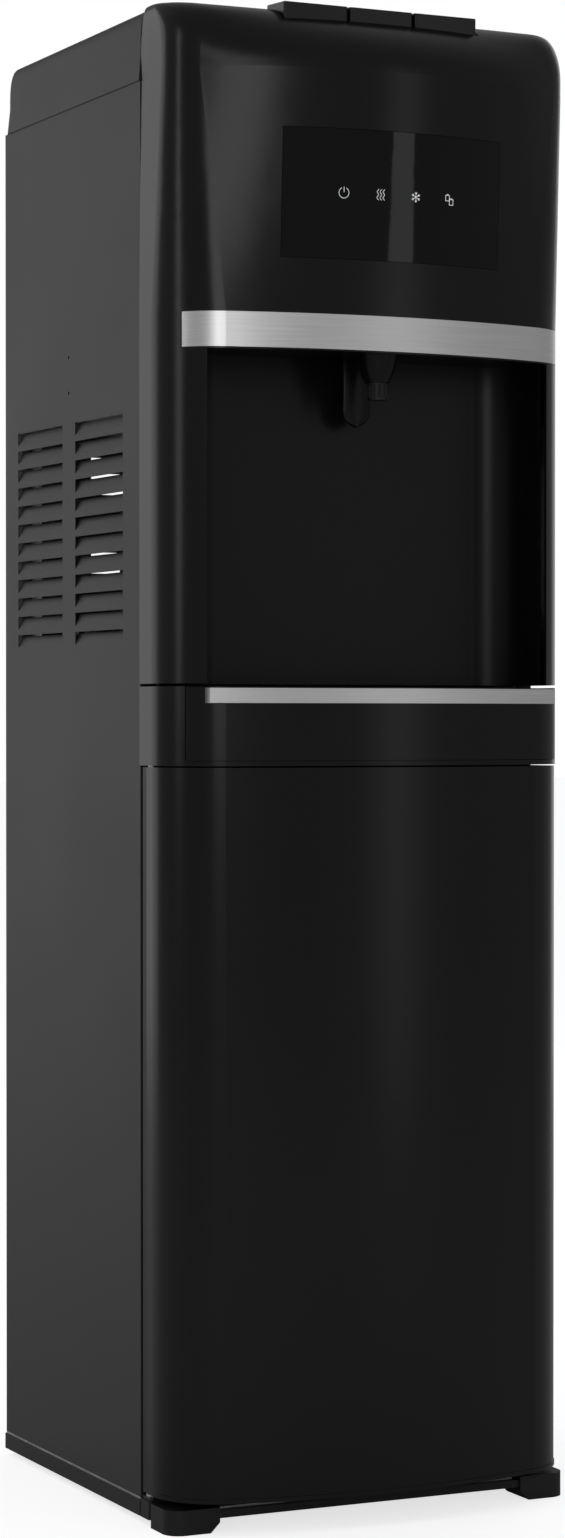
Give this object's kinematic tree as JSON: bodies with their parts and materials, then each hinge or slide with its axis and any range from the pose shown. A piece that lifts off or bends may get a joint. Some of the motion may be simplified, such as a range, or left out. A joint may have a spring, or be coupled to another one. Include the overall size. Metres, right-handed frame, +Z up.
{
  "type": "bottom loading water dispenser",
  "caption": "Floor-standing bottom-loading water dispenser with a curved front, dispensing bay, push buttons, drip tray drawer and hinged bottle cabinet door.",
  "frame": {"origin": "on the floor, in the middle of the footprint box", "axes": "+Z up, the front faces -Y, +X to the right seen from the front"},
  "size_m": [0.312, 0.3569, 1.055],
  "materials": {
    "casing_paint": "satin dark grey",
    "lid_plastic": "satin dark grey",
    "front_black": "satin gloss black",
    "bay_black": "satin black",
    "window_black": "polished black",
    "silver_trim": "brushed satin",
    "black_plastic": "fine texture",
    "liner_grey": "fine texture",
    "zinc_sheet": "galvanised",
    "stainless": "satin",
    "black_metal": "black paint",
    "steel_pin": "bright",
    "rubber_black": "matt",
    "silicone": "milky",
    "white_foam": "foam",
    "white_plastic": "smooth",
    "circuit_board": "solder mask",
    "switch_red": "smooth",
    "switch_green": "smooth"
  },
  "bodies": {
    "casing": {"base_pan": "zinc_sheet", "base_skirts": "black_plastic", "front_plinths": "black_plastic", "front_feet": "black_plastic", "front_cross_beam": "black_plastic", "rear_feet": "rubber_black", "left_side_panel": "casing_paint", "right_side_panel": "casing_paint", "rear_panel": "zinc_sheet", "top_cover": "lid_plastic", "front_fascia": "front_black", "accent_band": "silver_trim", "display_window": "window_black", "display_board": "circuit_board", "hot_button_spring": "steel_pin", "ambient_button_spring": "steel_pin", "cold_button_spring": "steel_pin", "button_guide": "black_plastic", "dispense_valves": "white_plastic", "outlet_manifold": "silicone", "niche_liner": "bay_black", "nozzle_body": "bay_black", "nozzle_outlet": "black_plastic", "paddle_pin": "steel_pin", "lower_front_frame": "front_black", "lower_hinge_bracket": "black_metal", "door_hinge_pins": "steel_pin", "cabinet_liners": "liner_grey", "bottle_platform": "liner_grey", "partition_shelf": "zinc_sheet", "bottle_probe": "white_plastic", "probe_hose": "silicone", "cold_tank": "stainless", "cold_tank_foam": "white_foam", "tank_shelf": "zinc_sheet", "hot_tank": "stainless", "hot_tank_jacket": "white_foam", "compressor": "black_metal", "compressor_mounts": "rubber_black", "water_pump": "white_plastic", "condenser": "black_metal", "condenser_clips": "black_plastic", "control_board": "circuit_board", "rear_switch_plate": "black_plastic", "drain_spigot": "white_plastic", "cord_bush": "black_plastic", "casing_screws": "steel_pin"},
    "door": {"door_outer_panel": "front_black", "door_liner": "black_plastic", "door_magnets": "steel_pin"},
    "tray": {"drip_tray": "front_black", "tray_pull_bar": "silver_trim"},
    "grille": {"drip_grille": "black_plastic"},
    "hot_key": {"hot_button": "front_black"},
    "ambient_key": {"ambient_button": "front_black"},
    "cold_key": {"cold_button": "front_black"},
    "paddle": {"cup_paddle": "bay_black"},
    "hot_rocker": {"hot_switch": "switch_red"},
    "cold_rocker": {"cold_switch": "switch_green"},
    "drain_plug": {"drain_cap": "black_plastic"}
  },
  "joints": [
    {"name": "door_hinge", "type": "hinge", "parent": "casing", "child": "door", "pos_m": [-0.15, -0.0905, 0], "axis": [0, 0, -1], "range_deg": [0, 95]},
    {"name": "tray_slide", "type": "slide", "parent": "casing", "child": "tray", "axis": [0, -1, 0], "range_m": [0, 0.1]},
    {"name": "grille_lift", "type": "slide", "parent": "tray", "child": "grille", "axis": [0, 0, 1], "range_m": [0, 0.03]},
    {"name": "hot_press", "type": "slide", "parent": "casing", "child": "hot_key", "axis": [0, 0, -1], "range_m": [0, 0.004], "stiffness_N_per_m": 300, "springref_m": -0.003, "deforming": ["hot_button_spring"]},
    {"name": "ambient_press", "type": "slide", "parent": "casing", "child": "ambient_key", "axis": [0, 0, -1], "range_m": [0, 0.004], "stiffness_N_per_m": 300, "springref_m": -0.003, "deforming": ["ambient_button_spring"]},
    {"name": "cold_press", "type": "slide", "parent": "casing", "child": "cold_key", "axis": [0, 0, -1], "range_m": [0, 0.004], "stiffness_N_per_m": 300, "springref_m": -0.003, "deforming": ["cold_button_spring"]},
    {"name": "paddle_push", "type": "hinge", "parent": "casing", "child": "paddle", "pos_m": [0, -0.1075, 0.8242], "axis": [1, 0, 0], "range_deg": [0, 10], "stiffness_Nm_per_rad": 0.06, "springref_deg": -6.88},
    {"name": "hot_rocker_tilt", "type": "hinge", "parent": "casing", "child": "hot_rocker", "pos_m": [-0.0962, 0.1487, 0.9427], "axis": [1, 0, 0], "range_deg": [0, 20]},
    {"name": "cold_rocker_tilt", "type": "hinge", "parent": "casing", "child": "cold_rocker", "pos_m": [-0.0622, 0.1487, 0.9427], "axis": [1, 0, 0], "range_deg": [0, 20]},
    {"name": "drain_cap_pull", "type": "slide", "parent": "casing", "child": "drain_plug", "axis": [0, 1, 0], "range_m": [0, 0.02]}
  ]
}
